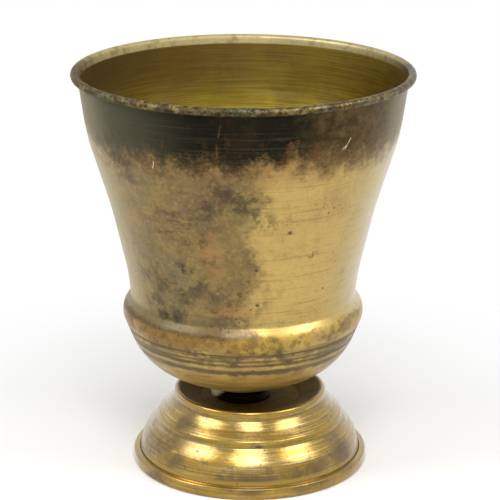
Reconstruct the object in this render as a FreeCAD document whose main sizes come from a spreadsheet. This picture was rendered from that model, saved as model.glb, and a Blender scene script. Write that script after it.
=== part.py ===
import FreeCAD, Part
import math
import os
import PartDesign
import Sketcher

# A footed metal cup. A spun cup and a spun, stepped foot are two separate shells of thin
# sheet. A turned collar stands between them, and a stud under the cup passes down through
# the collar and the foot's dish to a washer, a lock washer and a nut. All in millimetres.
# +Z is up and the origin is on the cup's axis, level with the surface that it stands on.

DOCUMENT = FreeCAD.newDocument("FootedCup")
SHEET = "Sizes"
UP = FreeCAD.Vector(0, 0, 1)
NUT_SIDES = 6

# How a sketch's rules name the points of an element, and the sketch's own two axes.
START, END, CENTRE = range(1, 4)
ACROSS = -1

# Each bend is the radius of its tight side. Steps run from one corner to the next. The cup's
# wall runs from its waist to its rim, and its corners lie at shares of the way out and up.
SIZES = {
    # Main sizes
    "overall_height": 216.64,
    "overall_width": 180.1,
    "foot_width": 126.78,
    # Foot sheet
    "foot_gauge": 0.8,
    "foot_shift": 3.8,
    # Hoop in the foot's rolled edge
    "hoop_width": 2.6,
    "hoop_depth": 4.8,
    "hoop_corner": 0.5,
    "hoop_fit": 0.02,
    "seam_gap": 0.25,
    # Foot outline, from its heel upwards and inwards
    "heel_rise": 0.6,
    "heel_bend": 4.0,
    "dome_inset": 2.55,
    "dome_rise": 10.1,
    "dome_bend": 15.9,
    "cove_inset": 6.6,
    "cove_rise": 7.4,
    "cove_bend": 1.0,
    "ridge_inset": 1.2,
    "ridge_rise": 3.4,
    "ridge_bend": 0.6,
    "bell_inset": 4.7,
    "bell_rise": 4.2,
    "bell_bend": 5.6,
    "throat_inset": 4.05,
    "throat_rise": 4.6,
    "throat_bend": 1.2,
    "crest_flare": 0.55,
    "crest_rise": 5.4,
    "crest_bend": 0.85,
    "dish_radius": 27.0,
    "dish_drop": 6.3,
    "dish_bend": 3.0,
    # Collar and its solder
    "collar_length": 7.4,
    "collar_base_radius": 15.0,
    "collar_waist_radius": 12.8,
    "collar_top_radius": 14.0,
    "collar_edge": 1.2,
    "collar_bend": 2.0,
    "solder_leg": 2.8,
    "solder_film": 0.03,
    "lump_angle": 214.0,
    "lump_length": 3.9,
    "lump_width": 2.6,
    "lump_depth": 2.2,
    # Stud, washers and nut
    "stud_radius": 4.0,
    "stud_tail": 3.0,
    "stud_chamfer": 0.8,
    "flange_radius": 9.0,
    "flange_depth": 1.6,
    "flange_gap": 1.0,
    "thread_fit": 0.05,
    "hole_gap": 0.3,
    "washer_radius": 18.0,
    "washer_depth": 2.0,
    "lock_radius": 7.4,
    "lock_depth": 2.0,
    "lock_slit": 1.0,
    "lock_slant": 20.0,
    "nut_flats": 13.0,
    "nut_depth": 6.8,
    "nut_chamfer": 30.0,
    # Cup outline, from its floor upwards and outwards
    "cup_gauge": 0.8,
    "knee_radius": 17.65,
    "knee_bend": 3.0,
    "bowl_width": 36.55,
    "bowl_rise": 15.8,
    "bowl_bend": 39.5,
    "roll_width": 11.58,
    "roll_rise": 29.25,
    "roll_bend": 8.4,
    "waist_inset": 5.7,
    "waist_rise": 6.95,
    "waist_bend": 4.0,
    "flare_out": 0.0553,
    "flare_up": 0.1164,
    "flare_bend": 105.0,
    "flank_out": 0.3619,
    "flank_up": 0.4225,
    "flank_bend": 260.0,
    "shoulder_out": 0.7914,
    "shoulder_up": 0.7401,
    "shoulder_bend": 115.0,
    # Wire in the cup's rolled rim
    "wire_radius": 1.3,
    "wire_fit": 0.02,
    "curl_tuck": 25.0,
    # Grooves turned in the bowl
    "groove_depth": 0.25,
    "groove_width": 0.5,
    "groove_drop": 7.85,
    "groove_pair": 1.6,
    "groove_space": 3.7,
}


def write_sheet():
    """One row for each size: its name, and its value under an alias."""
    sheet = DOCUMENT.addObject("Spreadsheet::Sheet", SHEET)
    for row, (name, value) in enumerate(SIZES.items(), start=1):
        sheet.set("A%d" % row, name)
        sheet.set("B%d" % row, str(value))
        sheet.setAlias("B%d" % row, name)
    DOCUMENT.recompute()
    return sheet


sheet = write_sheet()


def bound(expression):
    """The expression with each size's name pointed at its cell in the sheet."""
    words = []
    for word in expression.replace("(", "( ").replace(")", " )").split():
        words.append(SHEET + "." + word if word in SIZES else word)
    return " ".join(words)


def value_of(expression):
    """The expression's number at the sheet's present sizes."""
    return float(sheet.evalExpression(bound(expression)))


# Levels and radii where pieces meet, each from the sizes of the pieces that make it.
HOOP_BOTTOM = "foot_gauge + hoop_fit"
HOOP_TOP = "foot_gauge + hoop_fit + hoop_depth"
HOOP_OUTSIDE = "foot_width / 2 - foot_gauge - hoop_fit"
HOOP_INSIDE = HOOP_OUTSIDE + " - hoop_width"
HEEL_RADIUS = HOOP_INSIDE + " - hoop_fit"
HEEL_LEVEL = HOOP_TOP + " + hoop_fit + heel_rise"
DOME_RADIUS = HEEL_RADIUS + " - dome_inset"
DOME_LEVEL = HEEL_LEVEL + " + dome_rise"
COVE_RADIUS = DOME_RADIUS + " - cove_inset"
COVE_LEVEL = DOME_LEVEL + " + cove_rise"
RIDGE_RADIUS = COVE_RADIUS + " - ridge_inset"
RIDGE_LEVEL = COVE_LEVEL + " + ridge_rise"
BELL_RADIUS = RIDGE_RADIUS + " - bell_inset"
BELL_LEVEL = RIDGE_LEVEL + " + bell_rise"
THROAT_RADIUS = BELL_RADIUS + " - throat_inset"
THROAT_LEVEL = BELL_LEVEL + " + throat_rise"
CREST_RADIUS = THROAT_RADIUS + " + crest_flare"
CREST_LEVEL = THROAT_LEVEL + " + crest_rise"
DISH_FLOOR = CREST_LEVEL + " - dish_drop"
DISH_HOLE = "stud_radius + foot_shift + hole_gap"

WASHER_TOP = DISH_FLOOR + " - foot_gauge"
WASHER_BOTTOM = WASHER_TOP + " - washer_depth"
LOCK_BOTTOM = WASHER_BOTTOM + " - lock_depth"
NUT_BOTTOM = LOCK_BOTTOM + " - nut_depth"
STUD_END = NUT_BOTTOM + " - stud_tail"
THREAD_BORE = "stud_radius + thread_fit"
COLLAR_BORE = "flange_radius + flange_gap"

CUP_FLOOR = DISH_FLOOR + " + collar_length"
BOWL_RADIUS = "knee_radius + bowl_width"
BOWL_LEVEL = CUP_FLOOR + " + bowl_rise"
ROLL_RADIUS = BOWL_RADIUS + " + roll_width"
ROLL_LEVEL = BOWL_LEVEL + " + roll_rise"
WAIST_RADIUS = ROLL_RADIUS + " - waist_inset"
WAIST_LEVEL = ROLL_LEVEL + " + waist_rise"
CURL_RADIUS = "( wire_radius + wire_fit )"
RIM_RADIUS = "overall_width / 2 - cup_gauge - " + CURL_RADIUS
RIM_LEVEL = "overall_height - cup_gauge - " + CURL_RADIUS
WALL_WIDTH = "( " + RIM_RADIUS + " - ( " + WAIST_RADIUS + " ) )"
WALL_HEIGHT = "( " + RIM_LEVEL + " - ( " + WAIST_LEVEL + " ) )"
FLARE_RADIUS = WAIST_RADIUS + " + flare_out * " + WALL_WIDTH
FLARE_LEVEL = WAIST_LEVEL + " + flare_up * " + WALL_HEIGHT
FLANK_RADIUS = WAIST_RADIUS + " + flank_out * " + WALL_WIDTH
FLANK_LEVEL = WAIST_LEVEL + " + flank_up * " + WALL_HEIGHT
SHOULDER_RADIUS = WAIST_RADIUS + " + shoulder_out * " + WALL_WIDTH
SHOULDER_LEVEL = WAIST_LEVEL + " + shoulder_up * " + WALL_HEIGHT
LIP_WIDTH = "( 1 - shoulder_out ) * " + WALL_WIDTH
LIP_HEIGHT = "( 1 - shoulder_up ) * " + WALL_HEIGHT
CURL_LEAN = "( atan( %s / ( %s ) ) - asin( %s / hypot( %s ; %s ) ) )" % (
    LIP_WIDTH, LIP_HEIGHT, CURL_RADIUS, LIP_WIDTH, LIP_HEIGHT)


def origin_plane(body, role):
    """One of the body's own three origin planes."""
    return next(plane for plane in body.Origin.OriginFeatures if plane.Role == role)


def new_body(label):
    """An empty body with its label."""
    body = DOCUMENT.addObject("PartDesign::Body", label)
    body.Label = label
    return body


def new_sketch(body, name, role):
    """A sketch on one of the body's origin planes."""
    sketch = body.newObject("Sketcher::SketchObject", name)
    sketch.AttachmentSupport = (origin_plane(body, role), "")
    sketch.MapMode = "FlatFace"
    return sketch


def section_sketch(name):
    """A free sketch in the XZ plane, where a shell's line is drawn as radius and height."""
    sketch = DOCUMENT.addObject("Sketcher::SketchObject", name)
    sketch.Placement = FreeCAD.Placement(FreeCAD.Vector(), FreeCAD.Rotation(FreeCAD.Vector(1, 0, 0), 90))
    return sketch


def held(kind, where, expression, name):
    """A rule of a sketch that holds one of its dimensions at an expression on the sheet."""
    return Sketcher.Constraint(kind, *where, value_of(expression)), name, expression


def free(kind, *where):
    """A rule of a sketch that has no dimension, such as two ends that meet."""
    return Sketcher.Constraint(kind, *where), None, None


def pinned(element, vertex, corner):
    """The rules that hold a point at a corner's radius and height from the sketch's origin."""
    name, radius, level = corner[:3]
    return [
        held("DistanceX", (ACROSS, START, element, vertex), radius, name + "_radius"),
        held("DistanceY", (ACROSS, START, element, vertex), level, name + "_level"),
    ]


def settle(sketch, rules):
    """Gives a sketch all its rules at once, so it is solved whole, then ties them to the sheet."""
    indexes = sketch.addConstraint([constraint for constraint, name, expression in rules])
    for index, (constraint, name, expression) in zip(indexes, rules):
        if name:
            sketch.renameConstraint(index, name)
            sketch.setExpression("Constraints." + name, bound(expression))


def place_of(corner):
    """A corner's point in the sketch."""
    return FreeCAD.Vector(value_of(corner[1]), value_of(corner[2]), 0)


def turn_of(before, here, after):
    """Positive where the line turns to its left at a corner."""
    return (here - before).cross(after - here).z


def bend_arc(before, here, after, radius):
    """The arc that touches both legs of a corner, and its ends on the first and second leg."""
    inward = (before - here).normalize()
    outward = (after - here).normalize()
    half = inward.getAngle(outward) / 2
    centre = here + (inward + outward).normalize() * (radius / math.sin(half))
    reach = radius / math.tan(half)
    ends = [here + inward * reach, here + outward * reach]
    angles = [math.atan2(end.y - centre.y, end.x - centre.x) for end in ends]
    if turn_of(before, here, after) < 0:
        angles.reverse()
    if angles[1] < angles[0]:
        angles[1] += 2 * math.pi
    return Part.ArcOfCircle(Part.Circle(centre, UP, radius), *angles), *ends


def line_rules(sketch, corners, closed=False, gauge=None, side=0):
    """Draws straight legs from corner to corner, each corner sharp or rounded by its bend.

    A corner is a name, its radius, its level and, where it is rounded, the radius of its tight
    side. A sheet lies on one side of its line, 1 for the left, so where the line turns towards
    that side its own radius is the tight radius and the gauge. Returns the rules that hold it.
    """
    points = [place_of(corner) for corner in corners]
    legs = len(points) if closed else len(points) - 1
    starts = points[:legs]
    stops = (points[1:] + points[:1])[:legs]
    rounds = []
    rules = []
    if not closed:
        rules += pinned(0, START, corners[0]) + pinned(legs - 1, END, corners[-1])
    for here in range(0 if closed else 1, legs):
        before = (here - 1) % legs
        corner = corners[here]
        if len(corner) == 3:
            rules += [free("Coincident", before, END, here, START)] + pinned(here, START, corner)
            continue
        spots = (points[here - 1], points[here], points[(here + 1) % len(points)])
        left = turn_of(*spots) > 0
        bend = corner[3]
        if side and left == (side > 0):
            bend = bend + " + " + gauge
        arc, stops[before], starts[here] = bend_arc(*spots, value_of(bend))
        number = legs + len(rounds)
        mark = number + 1
        rounds += [(arc, False), (Part.Point(points[here]), True)]
        near, far = (START, END) if left else (END, START)
        rules += [
            free("PointOnObject", mark, START, before),
            free("PointOnObject", mark, START, here),
            free("Tangent", before, END, number, near),
            free("Tangent", number, far, here, START),
            held("Radius", (number,), bend, corner[0] + "_bend"),
        ] + pinned(mark, START, corner)
    sketch.addGeometry([Part.LineSegment(*ends) for ends in zip(starts, stops)], False)
    for shape, is_guide in rounds:
        sketch.addGeometry(shape, is_guide)
    return rules


def draw_line(sketch, corners, **form):
    """Draws a line through the corners and holds it to the sheet."""
    settle(sketch, line_rules(sketch, corners, **form))


def sheet_shell(label, sketch, gauge, side):
    """The sketched line thickened to the sheet's gauge on one side and turned about Z."""
    wall = DOCUMENT.addObject("Part::Offset2D", label + "_wall")
    wall.Source = sketch
    wall.Mode = "Skin"
    wall.Join = "Intersection"
    wall.Fill = True
    wall.Value = side * value_of(gauge)
    wall.setExpression("Value", bound(str(side) + " * " + gauge))
    shell = DOCUMENT.addObject("Part::Revolution", label)
    shell.Label = label
    shell.Source = wall
    shell.Axis = UP
    shell.Angle = 360
    shell.Solid = True
    return shell


def turned_body(label, corners):
    """A body turned about Z from a closed outline of radius and height."""
    body = new_body(label)
    sketch = new_sketch(body, label + "_outline", "XZ_Plane")
    draw_line(sketch, corners, closed=True)
    turning = body.newObject("PartDesign::Revolution", label + "_turning")
    turning.Profile = sketch
    turning.ReferenceAxis = (sketch, ["V_Axis"])
    turning.Angle = 360
    return body


def ring_sketch(body, name, level, radii):
    """Circles about the body's axis in a sketch at a level above its XY plane."""
    sketch = new_sketch(body, name, "XY_Plane")
    sketch.setExpression("AttachmentOffset.Base.z", bound(level))
    for number, radius in enumerate(radii):
        circle = sketch.addGeometry(Part.Circle(FreeCAD.Vector(), UP, value_of(radius)), False)
        rules = [free("Coincident", circle, CENTRE, ACROSS, START)]
        rules.append(held("Radius", (circle,), radius, "circle_%d" % number))
        settle(sketch, rules)
    return sketch


def padded(body, sketch, depth):
    """A pad of the sketch, upwards by a depth."""
    pad = body.newObject("PartDesign::Pad", sketch.Name + "_pad")
    pad.Profile = sketch
    pad.setExpression("Length", bound(depth))
    return pad


def make_foot_shell():
    """The foot: a dish, a crest, a bell, a ridge and a cove, a dome, and an edge round the hoop."""
    sketch = section_sketch("foot_line")
    under = "foot_gauge"
    over = HOOP_TOP + " + hoop_fit"
    outside = HOOP_OUTSIDE + " + hoop_fit"
    draw_line(sketch, [
        ("hole", DISH_HOLE, DISH_FLOOR),
        ("dish", "dish_radius", DISH_FLOOR, "dish_bend"),
        ("crest", CREST_RADIUS, CREST_LEVEL, "crest_bend"),
        ("throat", THROAT_RADIUS, THROAT_LEVEL, "throat_bend"),
        ("bell", BELL_RADIUS, BELL_LEVEL, "bell_bend"),
        ("ridge", RIDGE_RADIUS, RIDGE_LEVEL, "ridge_bend"),
        ("cove", COVE_RADIUS, COVE_LEVEL, "cove_bend"),
        ("dome", DOME_RADIUS, DOME_LEVEL, "dome_bend"),
        ("heel", HEEL_RADIUS, HEEL_LEVEL, "heel_bend"),
        ("inner_turn", HEEL_RADIUS, under, "hoop_corner"),
        ("outer_turn", outside, under, "hoop_corner"),
        ("upper_turn", outside, over, "hoop_corner"),
        ("seam", HEEL_RADIUS + " + seam_gap", over),
    ], gauge="foot_gauge", side=-1)
    shell = sheet_shell("foot_shell", sketch, "foot_gauge", -1)
    shell.setExpression("Placement.Base.x", bound("foot_shift"))


def make_foot_hoop():
    """The flat hoop that stiffens the foot's rolled edge, with rounded corners."""
    body = turned_body("foot_hoop", [
        ("low_inner", HOOP_INSIDE, HOOP_BOTTOM, "hoop_corner"),
        ("low_outer", HOOP_OUTSIDE, HOOP_BOTTOM, "hoop_corner"),
        ("high_outer", HOOP_OUTSIDE, HOOP_TOP, "hoop_corner"),
        ("high_inner", HOOP_INSIDE, HOOP_TOP, "hoop_corner"),
    ])
    body.setExpression("Placement.Base.x", bound("foot_shift"))


def make_neck_collar():
    """The turned collar between the dish and the cup, drawn in at its waist."""
    turned_body("neck_collar", [
        ("base_bore", COLLAR_BORE, DISH_FLOOR),
        ("base", "collar_base_radius", DISH_FLOOR),
        ("base_edge", "collar_base_radius", DISH_FLOOR + " + collar_edge"),
        ("waist", "collar_waist_radius", DISH_FLOOR + " + collar_length / 2", "collar_bend"),
        ("top_edge", "collar_top_radius", CUP_FLOOR + " - collar_edge"),
        ("top", "collar_top_radius", CUP_FLOOR),
        ("top_bore", COLLAR_BORE, CUP_FLOOR),
    ])


def make_collar_solder():
    """Solder in the corner between the collar and the cup, with one lump that ran out."""
    inner = "collar_top_radius + solder_film"
    outer = inner + " + solder_leg"
    body = new_body("solder_ring")
    sketch = new_sketch(body, "solder_outline", "XZ_Plane")
    corners = [
        ("inner_top", inner, CUP_FLOOR),
        ("inner_foot", inner, CUP_FLOOR + " - collar_edge"),
        ("outer_top", outer, CUP_FLOOR),
    ]
    draw_line(sketch, corners, closed=True)
    turning = body.newObject("PartDesign::Revolution", "solder_turning")
    turning.Profile = sketch
    turning.ReferenceAxis = (sketch, ["V_Axis"])
    turning.Angle = 360
    lump = DOCUMENT.addObject("Part::Ellipsoid", "solder_lump")
    lump.setExpression("Radius1", bound("lump_depth"))
    lump.setExpression("Radius2", bound("lump_width"))
    lump.setExpression("Radius3", bound("lump_length"))
    away = "( " + inner + " + lump_width )"
    lump.setExpression("Placement.Base.x", bound(away + " * cos( lump_angle )"))
    lump.setExpression("Placement.Base.y", bound(away + " * sin( lump_angle )"))
    lump.setExpression("Placement.Base.z", bound(CUP_FLOOR + " - lump_depth"))
    lump.Placement.Rotation = FreeCAD.Rotation(UP, value_of("lump_angle"))
    lump.setExpression("Placement.Rotation.Angle", bound("lump_angle"))
    solder = DOCUMENT.addObject("Part::MultiFuse", "collar_solder")
    solder.Label = "collar_solder"
    solder.Shapes = [body, lump]


def make_cup_stud():
    """The stud: a round flange under the cup and a shank down through collar, dish and nut."""
    flange_level = CUP_FLOOR + " - flange_depth"
    turned_body("cup_stud", [
        ("flange_centre", "0", CUP_FLOOR),
        ("flange_top", "flange_radius", CUP_FLOOR),
        ("flange_bottom", "flange_radius", flange_level),
        ("shank_top", "stud_radius", flange_level),
        ("shank_end", "stud_radius", STUD_END + " + stud_chamfer"),
        ("tail", "stud_radius - stud_chamfer", STUD_END),
        ("tail_centre", "0", STUD_END),
    ])


def make_dish_washer():
    """The wide plain washer under the dish, which covers its oversize hole."""
    body = new_body("dish_washer")
    face = ring_sketch(body, "washer_face", WASHER_BOTTOM, ["washer_radius", THREAD_BORE])
    padded(body, face, "washer_depth")


def make_lock_washer():
    """The split spring washer, pressed flat, with its slanted slit."""
    body = new_body("lock_washer")
    face = ring_sketch(body, "lock_face", LOCK_BOTTOM, ["lock_radius", THREAD_BORE])
    padded(body, face, "lock_depth")
    slit = new_sketch(body, "lock_slit_line", "XZ_Plane")
    lean = "lock_depth * tan( lock_slant )"
    corners = [
        ("low_left", "0", LOCK_BOTTOM),
        ("low_right", "lock_slit", LOCK_BOTTOM),
        ("high_right", "lock_slit + " + lean, WASHER_BOTTOM),
        ("high_left", lean, WASHER_BOTTOM),
    ]
    draw_line(slit, corners, closed=True)
    cut = body.newObject("PartDesign::Pocket", "lock_slit_cut")
    cut.Profile = slit
    cut.setExpression("Length", bound("lock_radius"))


def make_hex_nut():
    """The hexagon nut, its corners trimmed by a cone at both ends."""
    body = new_body("hex_nut")
    face = ring_sketch(body, "nut_face", NUT_BOTTOM, [THREAD_BORE])
    corner_radius = "nut_flats / 2 / cos( 180 / %d )" % NUT_SIDES
    first = FreeCAD.Vector(value_of(corner_radius), 0, 0)
    spots = [FreeCAD.Rotation(UP, 360 / NUT_SIDES * side).multVec(first) for side in range(NUT_SIDES)]
    legs = [Part.LineSegment(spots[side - 1], spots[side]) for side in range(NUT_SIDES)]
    sides = [face.addGeometry(leg, False) for leg in legs]
    guide = face.addGeometry(Part.Circle(FreeCAD.Vector(), UP, first.x), True)
    rules = [
        free("Coincident", guide, CENTRE, ACROSS, START),
        held("Radius", (guide,), corner_radius, "corner_circle"),
        free("PointOnObject", sides[0], END, ACROSS),
    ]
    for number, side in enumerate(sides):
        rules.append(free("Coincident", side, START, sides[number - 1], END))
        rules.append(free("PointOnObject", side, START, guide))
    rules += [free("Equal", sides[0], side) for side in sides[1:]]
    settle(face, rules)
    padded(body, face, "nut_depth")
    flat = "nut_flats / 2"
    reach = "nut_flats"
    fall = "( " + reach + " - " + flat + " ) * tan( nut_chamfer )"
    for end, level, sign in (("low", NUT_BOTTOM, " + "), ("high", LOCK_BOTTOM, " - ")):
        trim = new_sketch(body, "nut_" + end + "_trim", "XZ_Plane")
        draw_line(trim, [
            ("inner", flat, level),
            ("outer", reach, level),
            ("far", reach, level + sign + fall),
        ], closed=True)
        groove = body.newObject("PartDesign::Groove", "nut_" + end + "_cone")
        groove.Profile = trim
        groove.ReferenceAxis = (trim, ["V_Axis"])
        groove.Angle = 360


def make_cup_shell():
    """The cup: a flat floor, a round bowl, a rolled belt, a flared wall and a rolled rim."""
    sketch = section_sketch("cup_line")
    corners = [
        ("centre", "0", CUP_FLOOR),
        ("knee", "knee_radius", CUP_FLOOR, "knee_bend"),
        ("bowl", BOWL_RADIUS, BOWL_LEVEL, "bowl_bend"),
        ("roll", ROLL_RADIUS, ROLL_LEVEL, "roll_bend"),
        ("waist", WAIST_RADIUS, WAIST_LEVEL, "waist_bend"),
        ("flare", FLARE_RADIUS, FLARE_LEVEL, "flare_bend"),
        ("flank", FLANK_RADIUS, FLANK_LEVEL, "flank_bend"),
        ("shoulder", SHOULDER_RADIUS, SHOULDER_LEVEL, "shoulder_bend"),
        (
            "curl",
            RIM_RADIUS + " - " + CURL_RADIUS + " * cos( " + CURL_LEAN + " )",
            RIM_LEVEL + " + " + CURL_RADIUS + " * sin( " + CURL_LEAN + " )",
        ),
    ]
    rules = line_rules(sketch, corners, gauge="cup_gauge", side=1)
    last_leg = len(corners) - 2
    rim = ("rim", RIM_RADIUS, RIM_LEVEL)
    start = math.radians(-90 - value_of("curl_tuck"))
    stop = math.radians(180 - value_of(CURL_LEAN))
    round_wire = Part.Circle(place_of(rim), UP, value_of(CURL_RADIUS))
    curl = sketch.addGeometry(Part.ArcOfCircle(round_wire, start, stop), False)
    drop = CURL_RADIUS + " * cos( curl_tuck )"
    rules += pinned(curl, CENTRE, rim)
    rules.append(free("Coincident", last_leg, END, curl, END))
    rules.append(held("DistanceY", (curl, START, curl, CENTRE), drop, "curl_drop"))
    settle(sketch, rules)
    cup = sheet_shell("cup_sheet", sketch, "cup_gauge", 1)
    grooves = []
    drops = ["groove_drop"]
    for gap in ("groove_pair", "groove_space", "groove_space"):
        drops.append(drops[-1] + " + " + gap)
    for number, drop in enumerate(drops):
        level = ROLL_LEVEL + " - ( " + drop + " )"
        face = ROLL_RADIUS + " - ( " + drop + " ) * roll_width / roll_rise"
        grooves.append(turned_body("groove_%d" % number, [
            ("bottom", face + " - groove_depth", level),
            ("lower", face + " + groove_depth", level + " - groove_width"),
            ("upper", face + " + groove_depth", level + " + groove_width"),
        ]))
    tools = DOCUMENT.addObject("Part::MultiFuse", "grooves")
    tools.Shapes = grooves
    shell = DOCUMENT.addObject("Part::Cut", "cup_shell")
    shell.Label = "cup_shell"
    shell.Base = cup
    shell.Tool = tools


def make_rim_wire():
    """The round wire that the cup's rim is rolled over."""
    wire = DOCUMENT.addObject("Part::Torus", "rim_wire")
    wire.Label = "rim_wire"
    wire.setExpression("Radius1", bound(RIM_RADIUS))
    wire.setExpression("Radius2", bound("wire_radius"))
    wire.setExpression("Placement.Base.z", bound(RIM_LEVEL))


PIECES = {
    "foot_shell": make_foot_shell,
    "foot_hoop": make_foot_hoop,
    "neck_collar": make_neck_collar,
    "collar_solder": make_collar_solder,
    "cup_stud": make_cup_stud,
    "dish_washer": make_dish_washer,
    "lock_washer": make_lock_washer,
    "hex_nut": make_hex_nut,
    "cup_shell": make_cup_shell,
    "rim_wire": make_rim_wire,
}


def build():
    """Makes every piece, checks the whole document and writes one STEP file for each piece."""
    for make in PIECES.values():
        make()
    DOCUMENT.recompute()
    for item in DOCUMENT.Objects:
        if "Invalid" in item.State or "Error" in item.State:
            raise RuntimeError("%s did not compute" % item.Label)
    for label in PIECES:
        shape = DOCUMENT.getObjectsByLabel(label)[0].Shape
        if shape.isNull() or not shape.isValid():
            raise RuntimeError("%s has no sound shape" % label)
        if len(shape.Solids) != 1:
            raise RuntimeError("%s is not one solid" % label)
    os.makedirs("parts", exist_ok=True)
    for label in PIECES:
        DOCUMENT.getObjectsByLabel(label)[0].Shape.exportStep("parts/%s.step" % label)


build()
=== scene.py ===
"""Builds the looks of an aged brass cup on a stepped foot around its CAD frame.

Two spun sheets, the cup and the foot, are drawn as surfaces of revolution with the small
unevenness of hand work. The solder and the threaded stud are drawn too. The collar, the washers,
the nut, the wire and the hoop keep their CAD shapes. All lengths are in metres.
"""

import math
from functools import reduce
from operator import or_
from types import SimpleNamespace

import bpy
import numpy as np
from bpy.props import FloatProperty, FloatVectorProperty, IntProperty, PointerProperty
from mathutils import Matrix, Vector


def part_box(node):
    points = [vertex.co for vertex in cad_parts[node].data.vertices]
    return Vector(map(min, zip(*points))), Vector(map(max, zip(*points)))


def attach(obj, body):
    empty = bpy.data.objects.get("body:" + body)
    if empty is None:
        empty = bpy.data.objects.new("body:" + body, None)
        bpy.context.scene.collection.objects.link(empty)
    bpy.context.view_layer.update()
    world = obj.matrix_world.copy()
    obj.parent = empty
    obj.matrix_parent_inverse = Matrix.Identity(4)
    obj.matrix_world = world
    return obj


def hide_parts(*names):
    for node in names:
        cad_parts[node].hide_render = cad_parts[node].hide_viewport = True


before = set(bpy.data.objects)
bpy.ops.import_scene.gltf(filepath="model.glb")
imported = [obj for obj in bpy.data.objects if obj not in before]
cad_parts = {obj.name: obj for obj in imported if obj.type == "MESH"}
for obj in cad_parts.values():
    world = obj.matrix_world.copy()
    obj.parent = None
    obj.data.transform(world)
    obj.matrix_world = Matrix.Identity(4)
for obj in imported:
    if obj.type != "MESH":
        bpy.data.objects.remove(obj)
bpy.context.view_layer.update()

bl_info = {
    "name": "Footed Metal Cup",
    "version": (1, 0, 0),
    "blender": (4, 5, 0),
    "location": "View3D > Sidebar > Footed Cup",
    "description": "Draws an aged brass cup on a stepped foot around its CAD frame",
    "category": "Add Mesh",
}

MM = 0.001


def length(label, millimetres, text):
    """A length that is stated in millimetres and kept in metres."""
    return FloatProperty(name=label, description=text, default=millimetres * MM, unit="LENGTH", precision=6)


def share(label, value, text):
    """A plain ratio or strength."""
    return FloatProperty(name=label, description=text, default=value, subtype="FACTOR", precision=4)


def bearing(label, degrees, text):
    """An angle that is stated in degrees and kept in radians."""
    return FloatProperty(name=label, description=text, default=math.radians(degrees), unit="ROTATION")


def colour(label, red, green, blue, text):
    """A colour stated in display levels from 0 to 255."""
    return FloatVectorProperty(
        name=label, description=text, default=linear(red, green, blue)[:3], subtype="COLOR", size=3,
        min=0, max=1)


def linear(red, green, blue):
    """Display levels from 0 to 255 as a linear colour with full alpha."""
    levels = [value / 255 for value in (red, green, blue)]
    return tuple(v / 12.92 if v <= 0.04045 else ((v + 0.055) / 1.055) ** 2.4 for v in levels) + (1.0,)


class CupShape(bpy.types.PropertyGroup):
    """The cup's outline in steps from its floor, as its CAD sketch has them."""

    gauge: length("Gauge", 0.8, "Thickness of the sheet")
    knee_radius: length("Knee radius", 17.65, "Where the flat floor ends")
    knee_bend: length("Knee bend", 3.0, "Tight radius between the floor and the bowl")
    bowl_width: length("Bowl width", 36.55, "From the knee out to the bowl's corner")
    bowl_rise: length("Bowl rise", 15.8, "From the floor up to the bowl's corner")
    bowl_bend: length("Bowl bend", 39.5, "Tight radius of the bowl")
    roll_width: length("Roll width", 11.58, "From the bowl's corner out to the roll")
    roll_rise: length("Roll rise", 29.25, "From the bowl's corner up to the roll")
    roll_bend: length("Roll bend", 8.4, "Tight radius of the roll round the belt")
    waist_inset: length("Waist inset", 5.7, "From the roll in to the waist")
    waist_rise: length("Waist rise", 6.95, "From the roll up to the waist")
    waist_bend: length("Waist bend", 4.0, "Tight radius of the waist")
    flare_out: share("Flare out", 0.0553, "Share of the wall's width at the flare")
    flare_up: share("Flare up", 0.1164, "Share of the wall's height at the flare")
    flare_bend: length("Flare bend", 105.0, "Radius of the flare")
    flank_out: share("Flank out", 0.3619, "Share of the wall's width at the flank")
    flank_up: share("Flank up", 0.4225, "Share of the wall's height at the flank")
    flank_bend: length("Flank bend", 260.0, "Radius of the flank")
    shoulder_out: share("Shoulder out", 0.7914, "Share of the wall's width at the shoulder")
    shoulder_up: share("Shoulder up", 0.7401, "Share of the wall's height at the shoulder")
    shoulder_bend: length("Shoulder bend", 115.0, "Radius of the shoulder")
    curl_radius: length("Curl radius", 1.32, "Inside radius of the rim's curl round its wire")
    curl_tuck: bearing("Curl tuck", 25.0, "How far the curl's edge passes under its wire")
    groove_depth: length("Groove depth", 0.25, "Depth of the grooves turned in the bowl")
    groove_width: length("Groove width", 0.5, "Width of the grooves at the sheet's face")
    groove_drop: length("Groove drop", 7.85, "From the roll's corner down to the first groove")
    groove_pair: length("Groove pair", 1.6, "Between the two grooves of the pair")
    groove_space: length("Groove space", 3.7, "Between the single grooves")
    wave: length("Wave", 0.16, "Height of the low waves that the spinning left in the sheet")
    dent: length("Dent", 0.35, "Depth of the deepest of the soft dents")
    spacing: length("Spacing", 1.5, "Distance between the points of a straight leg")
    around: IntProperty(name="Around", description="Points in one turn", default=264, min=24)


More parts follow.
